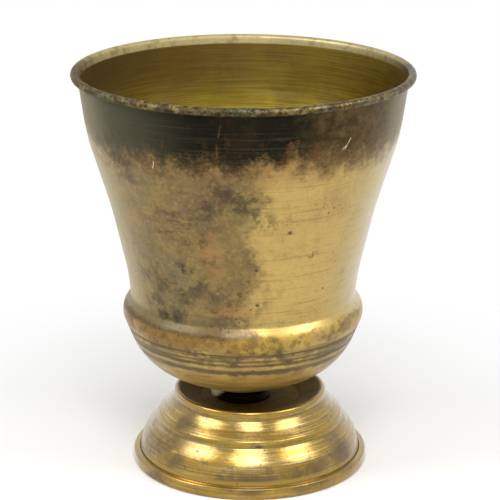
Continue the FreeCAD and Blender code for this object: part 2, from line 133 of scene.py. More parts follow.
class FootShape(bpy.types.PropertyGroup):
    """The foot's outline in steps from its edge, as its CAD sketch has them, but with a softer
    throat and cove."""

    gauge: length("Gauge", 0.8, "Thickness of the sheet")
    hoop_width: length("Hoop width", 2.6, "Width of the hoop in the rolled edge")
    hoop_depth: length("Hoop depth", 4.8, "Height of the hoop in the rolled edge")
    hoop_corner: length("Hoop corner", 0.5, "Radius of the hoop's corners")
    hoop_fit: length("Hoop fit", 0.02, "Space between the hoop and the sheet")
    seam_gap: length("Seam gap", 0.25, "Open seam between the edge's end and the dome")
    heel_rise: length("Heel rise", 0.6, "From the hoop's top up to the heel")
    heel_bend: length("Heel bend", 4.0, "Tight radius of the heel")
    dome_inset: length("Dome inset", 2.55, "From the heel in to the dome's corner")
    dome_rise: length("Dome rise", 10.1, "From the heel up to the dome's corner")
    dome_bend: length("Dome bend", 15.9, "Tight radius of the dome")
    cove_inset: length("Cove inset", 6.6, "From the dome in to the cove")
    cove_rise: length("Cove rise", 7.4, "From the dome up to the cove")
    cove_bend: length("Cove bend", 3.0, "Tight radius of the cove")
    ridge_inset: length("Ridge inset", 1.2, "From the cove in to the ridge")
    ridge_rise: length("Ridge rise", 3.4, "From the cove up to the ridge")
    ridge_bend: length("Ridge bend", 0.6, "Tight radius of the ridge")
    bell_inset: length("Bell inset", 4.7, "From the ridge in to the bell")
    bell_rise: length("Bell rise", 4.2, "From the ridge up to the bell")
    bell_bend: length("Bell bend", 5.6, "Tight radius of the bell")
    throat_inset: length("Throat inset", 4.05, "From the bell in to the throat")
    throat_rise: length("Throat rise", 4.6, "From the bell up to the throat")
    throat_bend: length("Throat bend", 4.0, "Tight radius of the throat")
    crest_flare: length("Crest flare", 0.55, "From the throat out to the crest")
    crest_rise: length("Crest rise", 5.4, "From the throat up to the crest")
    crest_bend: length("Crest bend", 0.85, "Tight radius of the crest")
    dish_radius: length("Dish radius", 27.0, "Where the dish's flat floor ends")
    dish_drop: length("Dish drop", 6.3, "From the crest's corner down to the dish's floor")
    dish_bend: length("Dish bend", 3.0, "Tight radius of the dish")
    hole_radius: length("Hole radius", 8.1, "Radius of the hole for the stud")
    wave: length("Wave", 0.12, "Height of the low waves that the spinning left in the sheet")
    dent: length("Dent", 0.25, "Depth of the deepest of the soft dents")
    spacing: length("Spacing", 0.9, "Distance between the points of a straight leg")
    around: IntProperty(name="Around", description="Points in one turn", default=264, min=24)


class FixingShape(bpy.types.PropertyGroup):
    """The threaded stud and the solder under the cup."""

    shank_radius: length("Shank radius", 3.97, "Radius of the stud over its thread")
    thread_depth: length("Thread depth", 0.68, "Depth of the thread")
    thread_pitch: length("Thread pitch", 1.25, "Rise of the thread in one turn")
    flange_radius: length("Flange radius", 9.0, "Radius of the stud's flange")
    flange_depth: length("Flange depth", 1.6, "Thickness of the stud's flange")
    chamfer: length("Chamfer", 0.8, "Chamfer at the stud's end")
    solder_inner: length("Solder inner", 14.03, "Radius of the solder's inner edge")
    solder_leg: length("Solder leg", 2.8, "Spread of the solder under the cup")
    solder_drop: length("Solder drop", 1.2, "Run of the solder down the collar")
    lump_angle: bearing("Lump angle", 214.0, "Where the lump ran out, from the +X axis")
    lump_spread: bearing("Lump spread", 17.0, "Half of the arc that the lump fills")
    lump_reach: length("Lump reach", 4.3, "How far the lump stands out from the bead")
    around: IntProperty(name="Around", description="Points in one turn", default=192, min=24)


class BrassColours(bpy.types.PropertyGroup):
    """The metal's colours, from rubbed gold to burnt black."""

    gold: colour("Gold", 191, 162, 92, "Rubbed metal")
    tan: colour("Tan", 166, 136, 74, "Metal dulled by handling")
    khaki: colour("Khaki", 132, 113, 68, "Metal dulled to a greyish brown")
    olive: colour("Olive", 132, 112, 62, "Green-brown tarnish")
    orange: colour("Orange", 172, 130, 72, "Warm tarnish below the burnt band")
    amber: colour("Amber", 184, 150, 56, "Yellow tarnish on the belt")
    brown: colour("Brown", 108, 88, 56, "Brown tarnish")
    umber: colour("Umber", 84, 66, 32, "Deep brown tarnish")
    grey: colour("Grey", 106, 104, 80, "Grey-green bloom")
    # Black also colours the neck collar, partly as a painted shadow under the bowl.
    black: colour("Black", 26, 24, 14, "Burnt metal")
    red: colour("Red", 100, 66, 40, "Copper-red streaks in the burnt band")
    inside: colour("Inside", 172, 150, 48, "Brushed lining")
    foot: colour("Foot", 162, 128, 30, "Polished metal of the foot")
    # Pale is also laid on the flanks over the burnt band as a painted reflection.
    pale: colour("Pale", 226, 212, 172, "Bare metal in a scratch")
    # Bright also lightens the bead's far side, and on the wall's flanks it is a painted reflection of the
    # white surround.
    bright: colour("Bright", 184, 170, 124, "Rubbed metal of the rim's far side")
    steel: colour("Steel", 150, 150, 140, "Plated steel")
    iron: colour("Iron", 58, 54, 50, "Black iron")
    solder: colour("Solder", 216, 204, 160, "Hard solder as it ran")


class StageSettings(bpy.types.PropertyGroup):
    """The camera, the lights and the floor."""

    lens: FloatProperty(
        name="Lens", description="Focal length in millimetres on a 36 mm sensor", default=152.9)
    eye: FloatVectorProperty(
        name="Eye", description="Where the camera stands", default=(0.0037, -1.08306, 0.45876),
        subtype="TRANSLATION")
    pitch: bearing("Pitch", 72.51, "Tilt of the camera up from straight down")
    roll: bearing("Roll", 0.2, "Turn of the camera about its own line of sight")
    light_level: FloatProperty(name="Light level", description="Radiance of the three lights", default=9.5)
    fill_level: FloatProperty(name="Fill level", description="World strength for diffuse light", default=0.62)
    floor_tone: share("Floor tone", 0.85, "Reflectance of the floor")
    paper_near: length("Paper near", 120.0, "Where the plain floor starts to turn into the white surround")
    paper_far: length("Paper far", 300.0, "Where the white surround is reached")
    light_distance: length("Light distance", 900.0, "From the cup to each light")
    light_size: length("Light size", 385.0, "Side of each light")


# ---------------------------------------------------------------- sections and surfaces

# A bend's fewest points and its widest step, and how much wider than on a leg its points may lie.
BEND_POINTS, BEND_STEP, BEND_SPACING = 5, math.radians(8), 1.3
# Legs that rise faster than this take marks.
STEEP = 0.5
WAVE_LOBES = (2, 3, 4, 5, 7)
WAVE_DRIFT = 26
SHARP_ANGLE = math.radians(42)
# The bend attribute: the reach over which it is averaged, and the radius that counts as one.
BEND_BLUR, BEND_FULL = 1.2 * MM, 4 * MM
# The foot's dress ends this far above its heel, and the dish's dark tarnish and painted shade end across its
# crest.
HEEL_ABOVE = 0.003
DISH_EDGE = (0.0006, 0.0018)


def full_turn(around):
    """The angles of one turn."""
    return np.arange(around) * 2 * math.pi / around


def turn_left(before, here, after):
    """Positive where a line turns to its left at a corner."""
    first, second = here - before, after - here
    return first[0] * second[1] - first[1] * second[0]


def sheet_line(corners, gauge, side, spacing, marks=()):
    """Points along straight legs and round bends, with the normal that points away from the sheet.

    A corner is its radius, its height and the radius of its tight side, which grows by the gauge
    where the line turns towards the sheet. The sheet lies on one side, 1 for the left. Marks are
    heights that get close points. Returns points, normals and curvature, positive where the
    line's face is convex.
    """
    spots = [np.array(corner[:2], float) for corner in corners]
    points, normals, curves = [], [], []

    def add(point, direction, curvature):
        points.append(point)
        normals.append(np.array([direction[1], -direction[0]]) * side)
        curves.append(curvature)

    start = spots[0]
    for number in range(1, len(spots)):
        here = spots[number]
        leg = (here - spots[number - 1]) / np.linalg.norm(here - spots[number - 1])
        rounded = number < len(spots) - 1
        if rounded:
            after = spots[number + 1]
            turn = turn_left(spots[number - 1], here, after)
            radius = corners[number][2] + (gauge if turn * side > 0 else 0)
            onward = (after - here) / np.linalg.norm(after - here)
            angle = math.acos(np.clip(leg @ onward, -1, 1))
            stop = here - leg * radius * math.tan(angle / 2)
        else:
            stop = here
        run = np.linalg.norm(stop - start)
        places = list(np.linspace(0, run, max(2, round(run / spacing) + 1)))
        for mark, reach in marks:
            if abs(leg[1]) > STEEP:
                along = (mark - start[1]) / leg[1]
                places += [along + offset for offset in reach if 0 < along + offset < run]
        for place in sorted(places)[0 if number == 1 else 1:]:
            add(start + leg * place, leg, 0.0)
        start = stop
        if rounded:
            left = np.sign(turn)
            centre = stop + np.array([-leg[1], leg[0]]) * left * radius
            steps = max(
                BEND_POINTS, round(angle / BEND_STEP), round(angle * radius / (spacing * BEND_SPACING)))
            for step in range(1, steps + 1):
                swing = left * angle * step / steps
                cos, sin = math.cos(swing), math.sin(swing)
                spin = np.array([[cos, -sin], [sin, cos]])
                add(centre + spin @ (stop - centre), spin @ leg, left * side / radius)
            start = points[-1]
    return np.array(points), np.array(normals), np.array(curves)


def run_of(points):
    """The distance along a line at each of its points."""
    return np.concatenate([[0], np.cumsum(np.linalg.norm(np.diff(points, axis=0), axis=1))])


def blurred(values, run, reach):
    """Values along a line, averaged with a bell-shaped weight of that reach."""
    weights = np.exp(-((run[:, None] - run[None, :]) / reach) ** 2) * np.gradient(run)[None, :]
    return weights @ values / weights.sum(1)


def uneven(run, turn, wave, dent, hollows, seed):
    """Height of the sheet's waves and dents over a grid of distance along the line and angle.

    Low waves are sums of cosines of two to seven lobes whose phase drifts along the line, and each
    dent is a bell-shaped hollow at an angle in degrees and a distance, with its spread and depth.
    """
    chance = np.random.default_rng(seed)
    height = np.zeros((len(run), len(turn)))
    for lobes in WAVE_LOBES:
        phase, drift = chance.uniform(0, 2 * math.pi), chance.uniform(-WAVE_DRIFT, WAVE_DRIFT)
        height += wave / lobes * np.cos(lobes * turn[None, :] + phase + drift * run[:, None])
    for degrees, place, spread, depth in hollows:
        away = np.angle(np.exp(1j * (turn - math.radians(degrees))))[None, :]
        across = away / math.radians(spread[0])
        along = (run[:, None] - place) / spread[1]
        height -= dent * depth * np.exp(-(across ** 2) - along ** 2)
    return height


def turned_grid(name, rows, lifts, marks, around, closed, reverse, axis=(0.0, 0.0)):
    """A closed mesh swept about a vertical axis from a loop of radius and height.

    Each point is the axis plus (radius + lift_r) along the angle's direction, and height + lift_z.
    A loop that isn't closed starts and ends on the axis, where all its points become one pole.
    """
    count = len(rows)
    turn = full_turn(around)
    radius = rows[:, None, 0] + lifts[..., 0]
    height = rows[:, None, 1] + lifts[..., 1]
    grid = np.stack([
        axis[0] + radius * np.cos(turn), axis[1] + radius * np.sin(turn), height + 0 * turn], axis=-1)
    index = np.arange(count * around).reshape(count, around)
    keep = np.ones(count * around, bool)
    if not closed:
        for row in (0, count - 1):
            grid[row] = (axis[0], axis[1], rows[row, 1])
            keep[index[row, 1:]] = False
            index[row, :] = index[row, 0]
    renumber = np.cumsum(keep) - 1
    index = renumber[index]
    above = np.roll(index, -1, axis=0) if closed else index[1:]
    below = index if closed else index[:-1]
    quads = np.stack([below, np.roll(below, -1, 1), np.roll(above, -1, 1), above], axis=-1)
    faces = []
    for quad in quads.reshape(-1, 4).tolist():
        corners = list(dict.fromkeys(quad))
        faces.append(corners[::-1] if reverse else corners)
    mesh = bpy.data.meshes.new(name)
    mesh.from_pydata(grid.reshape(-1, 3)[keep].tolist(), [], faces)
    for label, values in marks.items():
        values = np.broadcast_to(values, (count, around) + values.shape[2:])
        flat = values.reshape(count * around, -1)[keep]
        kind, field = ("FLOAT_VECTOR", "vector") if flat.shape[1] == 3 else ("FLOAT", "value")
        mesh.attributes.new(label, kind, "POINT").data.foreach_set(field, flat.astype(np.float32).ravel())
    mesh.validate()
    mesh.shade_smooth()
    mesh.set_sharp_from_angle(angle=SHARP_ANGLE)
    piece = bpy.data.objects.new(name, mesh)
    bpy.context.scene.collection.objects.link(piece)
    return piece


def sheet_loop(points, normals, gauge, lift, groove=None):
    """Both faces of a sheet as one loop: out along the line's face and back along the other.

    The far face is the line moved by the gauge against its normal, and both faces take the same
    lift along the normal, so that the gauge stays even, save in a groove. Returns the loop's rows,
    its lifts, its distance along the line, and 0 for the line's face or 1 for the other.
    """
    run = run_of(points)
    back = slice(None, None, -1)
    rows = np.vstack([points, (points - normals * gauge)[back]])
    aims = np.vstack([normals, normals[back]])
    front_lift = lift if groove is None else lift - groove[:, None]
    heights = np.vstack([front_lift, lift[back]])
    lifts = heights[..., None] * aims[:, None, :]
    return rows, lifts, np.concatenate([run, run[back]]), np.repeat([0.0, 1.0], len(run))


def sheet_marks(run, side, around):
    """Attributes for the finish: the turning, with the angle as a circle, and the face."""
    turn = full_turn(around)
    turning = np.stack(np.broadcast_arrays(np.cos(turn)[None], np.sin(turn)[None], run[:, None]), axis=-1)
    return {"turning": turning, "face": side[:, None]}


def eased(values, start, stop):
    """Zero before start, one after stop, and smooth between them."""
    part = np.clip((values - start) / (stop - start), 0, 1)
    return part * part * (3 - 2 * part)


# ---------------------------------------------------------------- finishes

# A colour Mix node's factor and two colours among its inputs, and its colour among its outputs.
MIX_INPUTS = (0, 6, 7)
MIX_RESULT = 2
SPOT_EDGE = 0.6
# A scratch's width at its soft edge and at its core, and how far it wanders.
SCRATCH_EDGE, SCRATCH_CORE, SCRATCH_WANDER = 0.00028, 0.00012, 0.0012
# Turning marks, in radians for each metre outwards and upwards.
RINGS_OUT, RINGS_UP = 9000.0, 7000.0


def plug(tree, node, inputs):
    """Sets a node's sockets, each by its name or number, to a value or a link."""
    for key, value in inputs.items():
        if isinstance(value, Signal):
            tree.links.new(value.socket, node.inputs[key])
        else:
            node.inputs[key].default_value = value


class Signal:
    """A value in a node tree that adds, subtracts and multiplies."""

    def __init__(self, tree, socket=None):
        self.tree = tree
        self.socket = socket

    def make(self, kind, inputs, output=0, **settings):
        """Any node, with its settings, its inputs by name or number, and one of its outputs."""
        node = self.tree.nodes.new(kind)
        for name, value in settings.items():
            setattr(node, name, value)
        plug(self.tree, node, inputs)
        return Signal(self.tree, node.outputs[output])

    def maths(self, operation, *values):
        """A Math node."""
        return self.make("ShaderNodeMath", dict(enumerate(values)), operation=operation)

    def __add__(self, other):
        return self.maths("ADD", self, other)

    def __radd__(self, other):
        return self.maths("ADD", other, self)

    def __sub__(self, other):
        return self.maths("SUBTRACT", self, other)

    def __rsub__(self, other):
        return self.maths("SUBTRACT", other, self)

    def __mul__(self, other):
        return self.maths("MULTIPLY", self, other)

    def __rmul__(self, other):
        return self.maths("MULTIPLY", other, self)

    def __abs__(self):
        return self.maths("ABSOLUTE", self)

    def __or__(self, other):
        """The larger of two masks."""
        return self.maths("MAXIMUM", self, other)

    def step(self, start, stop):
        """A smooth step from zero at start to one at stop."""
        inputs = {"Value": self, "From Min": start, "From Max": stop}
        return self.make("ShaderNodeMapRange", inputs, interpolation_type="SMOOTHSTEP")

    def blend(self, under, over):
        """Two colours mixed, with this as the share of the second."""
        inputs = dict(zip(MIX_INPUTS, (self, under, over)))
        return self.make("ShaderNodeMix", inputs, MIX_RESULT, data_type="RGBA")

    def vector(self, operation, other, output=0):
        """A Vector Math node."""
        return self.make("ShaderNodeVectorMath", {0: self, 1: other}, output, operation=operation)

    def parts(self):
        """The three parts of this vector."""
        sockets = self.make("ShaderNodeSeparateXYZ", {0: self}).socket.node.outputs
        return [Signal(self.tree, socket) for socket in sockets]

    def noise(self, scale, detail=3.0, roughness=0.55, output=0):
        """Noise at this position, from 0 to 1."""
        inputs = {"Vector": self, "Scale": scale, "Detail": detail, "Roughness": roughness}
        return self.make("ShaderNodeTexNoise", inputs, output)

    def cells(self, scale):
        """Distance from the nearest of a scatter of points."""
        return self.make("ShaderNodeTexVoronoi", {"Vector": self, "Scale": scale})


class Finish:
    """A material with its position and its surface shader."""

    def __init__(self, name, constants, colours=None):
        self.material = bpy.data.materials.new(name)
        self.material.use_nodes = True
        self.tree = self.material.node_tree
        self.shader = self.tree.nodes["Principled BSDF"]
        self.colours = colours
        self.shade(constants)
        self.place = Signal(self.tree).make("ShaderNodeTexCoord", {}, "Object")
        self.across, self.depth, self.height = self.place.parts()

    def shade(self, inputs):
        """Sets the surface shader's sockets to values or links."""
        plug(self.tree, self.shader, inputs)

    def attribute(self, name, output="Fac"):
        """One of the mesh's own attributes."""
        return self.place.make("ShaderNodeAttribute", {}, output, attribute_name=name)

    def radius(self):
        """The distance from the vertical axis."""
        square = self.across * self.across + self.depth * self.depth
        return square.maths("SQRT", square)

    def raised(self, height, distance):
        """The normal of a surface that is raised by this distance where the height is one."""
        return self.place.make("ShaderNodeBump", {"Height": height, "Distance": distance})

    def tone(self, colour):
        """A brass colour by its name, or the signal that was given."""
        return (*getattr(self.colours, colour), 1.0) if isinstance(colour, str) else colour

    def layered(self, under, *layers):
        """A colour with others laid over it in order, each with its mask. Names are brass colours."""
        for over, mask in layers:
            under = mask.blend(self.tone(under), self.tone(over))
        return under

    def textures(self, even, turned):
        """Noise by name, even or drawn out along the turning.

        Even noise has its scale, detail and roughness. Turned noise has its scale round the axis and
        along the sheet's line, then its detail and roughness.
        """
        turning = self.attribute("turning", "Vector")
        made = {name: self.place.noise(*values) for name, values in even.items()}
        for name, (around, along, *grit) in turned.items():
            made[name] = turning.vector("MULTIPLY", (around, around, along)).noise(1.0, *grit)
        return SimpleNamespace(turning=turning, **made)

    def warped(self, scale, reach):
        """The position, pushed about by up to half of this reach along each axis."""
        push = self.place.noise(scale, 5.0, 0.65, output=1).vector("SUBTRACT", (0.5, 0.5, 0.5))
        return self.place.vector("ADD", push.vector("MULTIPLY", reach))

    def spots(self, place, marks):
        """A mask with a soft spot at each point, from its half width and half height in mm."""
        masks = []
        for *centre, wide, tall in marks:
            size = [1 / (half * MM) for half in (wide, wide, tall)]
            away = place.vector("SUBTRACT", centre).vector("MULTIPLY", size)
            far = away.make("ShaderNodeVectorMath", {0: away}, 1, operation="LENGTH")
            masks.append(far.step(1 + SPOT_EDGE, 1 - SPOT_EDGE))
        return reduce(or_, masks)

    def scratched(self, profile, scratches):
        """A mask of fine lines, each with its angle and height on the wall, half length and lean."""
        masks = []
        for degrees, level, reach, lean in scratches:
            away = self.place.vector("SUBTRACT", on_wall(profile, degrees, level))
            turn, tilt = math.radians(degrees), math.radians(lean)
            level_way = np.array([math.cos(turn), math.sin(turn), 0.0])
            line_way = level_way * math.cos(tilt) + np.array([0.0, 0.0, math.sin(tilt)])
            side_way = level_way * -math.sin(tilt) + np.array([0.0, 0.0, math.cos(tilt)])
            along = away.vector("DOT_PRODUCT", line_way, 1)
            beside = away.vector("DOT_PRODUCT", side_way, 1)
            outwards = away.vector("DOT_PRODUCT", (math.sin(turn), -math.cos(turn), 0.0), 1)
            wander = (self.place.noise(400.0, 2.0, 0.5) - 0.5) * SCRATCH_WANDER
            line = abs(beside + wander).step(SCRATCH_EDGE, SCRATCH_CORE)
            ends = abs(along).step(reach * MM, reach * MM * 0.7)
            masks.append(line * ends * outwards.step(-0.02, -0.01))
        return reduce(or_, masks)


def on_wall(profile, degrees, level):
    """The point of the cup's outside at an angle from the front and a height."""
    radius = float(np.interp(level, profile[0], profile[1]))
    turn = math.radians(degrees)
    return (radius * math.sin(turn), -radius * math.cos(turn), level)


# Marks on the cup: angle from the front in degrees, height in metres, then half width and half height in mm.
STAINS = (
    (-12.0, 0.1625, 4.0, 4.5), (-8.5, 0.1130, 4.5, 4.0), (-43.0, 0.117, 10.0, 8.0), (-30.0, 0.107, 9.0, 6.0),
    (-20.0, 0.125, 7.0, 3.5), (-36.0, 0.099, 10.0, 4.0), (120.0, 0.140, 14.0, 10.0),
    (165.0, 0.115, 12.0, 9.0), (-110.0, 0.128, 12.0, 12.0), (-150.0, 0.150, 10.0, 6.0),
)
SMEARS = (
    (-32.0, 0.1460, 15.0, 1.2), (-22.0, 0.1520, 14.0, 1.0), (-27.0, 0.1560, 12.0, 1.2),
    (-20.0, 0.1490, 10.0, 0.9),
    (-28.0, 0.1415, 12.0, 0.9), (30.0, 0.1330, 5.0, 0.5),
    (-14.0, 0.1350, 3.0, 16.0), (-10.0, 0.1760, 3.0, 9.0), (-48.0, 0.1700, 8.0, 2.0),
    (140.0, 0.1300, 14.0, 1.4),
)
STREAKS = (
    (-8.0, 0.1960, 1.0, 10.0), (-5.0, 0.1930, 0.8, 8.0), (14.0, 0.1940, 1.4, 9.0), (-30.0, 0.1900, 0.9, 7.0),
    (27.0, 0.1870, 2.0, 8.0), (-118.0, 0.1920, 1.2, 9.0),
)
DOTS = (
    (19.5, 0.1475, 1.2, 1.0), (6.0, 0.1270, 0.8, 0.8), (7.0, 0.1070, 1.1, 1.0), (36.0, 0.1560, 0.6, 0.6),
    (2.5, 0.1210, 0.5, 0.5), (41.0, 0.1120, 0.6, 0.6),
)
GLEAMS = (
    (-4.0, 0.1030, 8.0, 3.0), (14.0, 0.1800, 14.0, 6.0), (-24.0, 0.0630, 9.0, 2.0),
    (-14.0, 0.1350, 6.0, 18.0),
)
CLUSTERS = (
    (0.0, 0.1660, 14.0, 9.0), (0.0, 0.1080, 12.0, 9.0), (-25.0, 0.1200, 14.0, 10.0), (8.0, 0.1560, 8.0, 5.0),
    (4.0, 0.0790, 22.0, 4.0), (-40.0, 0.1020, 12.0, 7.0), (150.0, 0.1600, 16.0, 10.0),
)
SCRATCHES = ((38.5, 0.1935, 3.8, 62.0), (37.0, 0.1915, 1.8, 40.0), (-33.0, 0.1830, 2.4, 75.0))
# Heights in metres of the bowl's painted lines.
DARK_LINES = (0.0796, 0.0760, 0.0735, 0.0700, 0.0685)
LIGHT_BANDS = (0.0715, 0.0660, 0.0625)
# Marks on the foot: a point in metres, then half width and half height in mm.
FOOT_STAINS = (
    (-0.043, -0.040, 0.018, 17.0, 10.0), (0.036, -0.053, 0.010, 15.0, 7.0), (0.050, 0.040, 0.016, 16.0, 10.0),
    # The fifth is a dark patch low on the rolled edge's left side, just above the floor.
    (0.004, -0.062, 0.008, 20.0, 4.0), (-0.050, -0.041, 0.003, 12.0, 4.0), (0.052, -0.030, 0.014, 10.0, 9.0),
    (-0.052, -0.022, 0.012, 10.0, 9.0), (-0.030, -0.030, 0.030, 8.0, 5.0),
)
FOOT_DOTS = (
    (0.0085, -0.0492, 0.0245, 2.0, 1.2), (0.0045, -0.0620, 0.0100, 1.9, 1.3),
    (-0.0300, -0.0500, 0.0150, 1.2, 1.0),
    (-0.0240, -0.0465, 0.0205, 1.0, 0.8),
)


# Each finish's even noise: scale, detail, roughness. Its turned noise: scale round the axis, scale
# along the sheet's line, detail, roughness.
CUP_GRAIN = {
    "broad": (14.0, 4.0, 0.6), "cloud": (42.0, 8.0, 0.68), "mottle": (120.0, 7.0, 0.7),
    "grain": (520.0, 5.0, 0.65),
}
CUP_TURNED = {
    "spin": (1.5, 1100.0, 4.0, 0.6), "flow": (6.0, 120.0, 7.0, 0.65), "drips": (30.0, 12.0, 5.0, 0.6),
    "band": (2.2, 300.0, 5.0, 0.6), "brushed": (2.2, 1500.0, 3.0, 0.6),
}
FOOT_GRAIN = {"cloud": (52.0, 7.0, 0.66), "mottle": (150.0, 7.0, 0.68), "grain": (700.0, 4.0, 0.6)}
FOOT_TURNED = {"spin": (1.6, 1300.0, 4.0, 0.62), "flow": (5.0, 170.0, 7.0, 0.65)}
# Below the rim: where the burnt band starts, where it is whole, and where the bead starts.
BAND_START, BAND_WHOLE, BEAD_START = 0.0345, 0.0195, 0.0024


def cup_wall(look, t):
    """The wall: khaki at the left, a reddish strip near the middle and gold at the right, which is
    partly worn metal and partly a painted broad highlight, and a painted reflection on both flanks.

    Returns its colour and where it is worn and carries the painted highlight.
    """
    lean = t.side + (t.cloud - 0.5) * 0.9 + (t.broad - 0.5) * 0.6
    # The gold right side: partly worn metal, partly a painted broad highlight.
    rubbed_and_highlit = lean.step(-0.04, 0.16)
    strip = lean.step(-0.42, -0.22) * lean.step(0.14, -0.02)
    dull = look.layered(
        "khaki",
        ("tan", t.flow.step(0.44, 0.60) * 0.45),
        ("grey", t.cloud.step(0.46, 0.62) * 0.4),
        ("red", t.cloud.step(0.47, 0.36) * 0.22),
        ("red", strip * t.cloud.step(0.38, 0.60) * 0.42))
    gilt = look.layered(
        "gold", ("tan", t.cloud.step(0.48, 0.64) * 0.5), ("tan", t.spin.step(0.5, 0.36) * 0.25))
    metal = look.layered(
        dull,
        (gilt, rubbed_and_highlit),
        ("umber", t.mottle.step(0.55, 0.70) * (0.36 - 0.20 * rubbed_and_highlit)),
        ("umber", t.spin.step(0.47, 0.30) * 0.30),
        ("umber", t.grain.step(0.52, 0.66) * (0.34 - 0.20 * rubbed_and_highlit)),
        ("gold", t.grain.step(0.46, 0.34) * 0.30),
        # Painted reflection: both flanks, where the wall turns away from the front, are lightened with
        # bright.
        ("bright", (t.side * t.side).step(0.35, 0.92) * 0.36))
    return metal, rubbed_and_highlit


def burnt_band(look, t, metal, rubbed_and_highlit, rim):
    """The metal with a ragged burnt band under the rim, brown at the right, a scorched zone and a
    painted pale reflection on both flanks.

    Returns the colour and where it is burnt.
    """
    start = rim - BAND_START
    edge = look.height + (
        (t.cloud - 0.5) * 0.030 + (t.mottle - 0.5) * 0.026 + (t.grain - 0.5) * 0.014 + (t.flow - 0.5) * 0.016)
    burnt = edge.step(start, rim - BAND_WHOLE)
    wash = (look.height + (t.cloud - 0.5) * 0.030).step(start - 0.008, start + 0.011)
    thin = (t.side + (t.cloud - 0.5) * 0.8).step(0.26, 0.58)
    char = look.layered(
        "black",
        ("umber", thin * (0.55 + 0.45 * t.flow.step(0.42, 0.58))),
        ("brown", thin * t.mottle.step(0.44, 0.60) * 0.7),
        ("grey", t.side.step(-0.22, -0.95) * 0.72),
        ("umber", t.flow.step(0.50, 0.64) * 0.15 | t.cloud.step(0.53, 0.66) * 0.15),
        ("grey", t.spin.step(0.54, 0.70) * 0.18),
        ("red", t.mottle.step(0.56, 0.68) * 0.22))
    metal = look.layered(
        metal,
        ("orange", wash * 0.66),
        ("umber", edge.step(start - 0.006, start + 0.008) * (0.72 - 0.2 * rubbed_and_highlit)),
        ("umber", wash * t.mottle.step(0.42, 0.58) * (0.42 - 0.2 * rubbed_and_highlit)),
        (char, burnt),
        # Painted reflection: pale laid on both flanks, where the wall turns away from the front.
        ("pale", (t.side * t.side).step(0.60, 0.98) * 0.22))
    return metal, burnt


def belt_and_bowl(look, t, metal, waist, roll):
    """The metal with the belt's warm gold and, below it, the bowl's bands, bright low down.

    Returns the colour, where the belt and the bowl are, and where the belt is worn.
    """
    height = look.height
    lines = t.band.step(0.47, 0.57)
    patchy = t.side + (t.cloud - 0.5) * 0.8
    above = height.step(roll, roll + 0.003)
    worn = patchy.step(0.35, -0.10) * above
    # Painted shade: umber in the waist's crease above the roll, on the left side.
    painted_crease_shade = patchy.step(0.15, -0.30) * height.step(waist + 0.003, waist - 0.001) * above
    bowl = look.layered(
        "gold",
        ("tan", t.cloud.step(0.38, 0.58) * 0.8),
        ("khaki", t.flow.step(0.47, 0.56) * 0.7),
        ("orange", t.flow.step(0.44, 0.36) * 0.7),
        ("umber", lines * 0.62),
        ("umber", t.mottle.step(0.50, 0.60) * 0.55),
        ("black", t.mottle.step(0.58, 0.66) * t.cloud.step(0.48, 0.58) * 0.6),
        ("gold", height.step(0.068, 0.060) * (0.85 - 0.45 * lines)))
    warm = look.layered(
        "tan",
        ("amber", t.cloud.step(0.40, 0.56) * 0.8),
        ("gold", t.side.step(0.1, 0.5) * 0.4),
        ("umber", t.mottle.step(0.50, 0.62) * 0.55),
        ("umber", t.flow.step(0.49, 0.60) * 0.45),
        ("red", t.side.step(0.2, -0.3) * t.cloud.step(0.44, 0.56) * 0.6),
        ("umber", worn * 0.75))
    ground = height + (t.cloud - 0.5) * 0.012
    belted = ground.step(waist - 0.002, waist - 0.0045)
    metal = look.layered(
        metal, (warm, belted), (bowl, ground.step(roll - 0.004, roll - 0.008)), ("umber", painted_crease_shade * 0.6))
    return metal, belted, worn


def cup_marks(look, t, metal, profile):
    """The metal with stains, smears, streaks, dots, pits, the bowl's lines and scratches.

    Returns the colour and where the pits are.
    """
    place, warped = look.place, look.warped(60.0, (0.022, 0.022, 0.022))

    def near(marks, where=warped):
        return look.spots(where, [(*on_wall(profile, *mark[:2]), *mark[2:]) for mark in marks])

    metal = look.layered(
        metal,
        ("black", near(STAINS) * (t.mottle.step(0.34, 0.60) * 0.6)),
        ("umber", near(SMEARS) * (t.mottle.step(0.40, 0.56) * 0.6)),
        ("red", near(STREAKS) * (t.drips.step(0.35, 0.5) * 0.8)),
        ("black", near(DOTS, place) * (t.grain.step(0.25, 0.5) * 0.8)),
        ("orange", near(GLEAMS) * (t.mottle.step(0.62, 0.44) * 0.55)))
    dense = near(CLUSTERS)
    specks = place.cells(760.0).step(0.30, 0.16) * t.mottle.step(0.46, 0.58)
    pocks = place.cells(360.0).step(0.26, 0.12) * t.cloud.step(0.53, 0.64)
    crust = t.mottle.step(0.49, 0.56) * dense
    pits = (pocks | specks * (0.45 + 0.55 * dense) | crust * 0.7) * t.outside
    metal = look.layered(metal, ("black", pits * 0.72))
    for tone, levels, waver, edge, core, strength in (
            ("umber", DARK_LINES, 0.002, 0.0013, 0.0004, t.outside * 0.7),
            ("gold", LIGHT_BANDS, 0.003, 0.0016, 0.0006, t.outside * (1 - pits) * 0.45)):
        for level in levels:
            off = abs(look.height - level + (t.flow - 0.5) * waver)
            metal = look.layered(metal, (tone, off.step(edge, core) * strength))
    metal = look.layered(
        metal,
        ("black", look.attribute("groove") * 0.55),
        ("pale", look.scratched(profile, SCRATCHES) * 0.9))
    return metal, pits


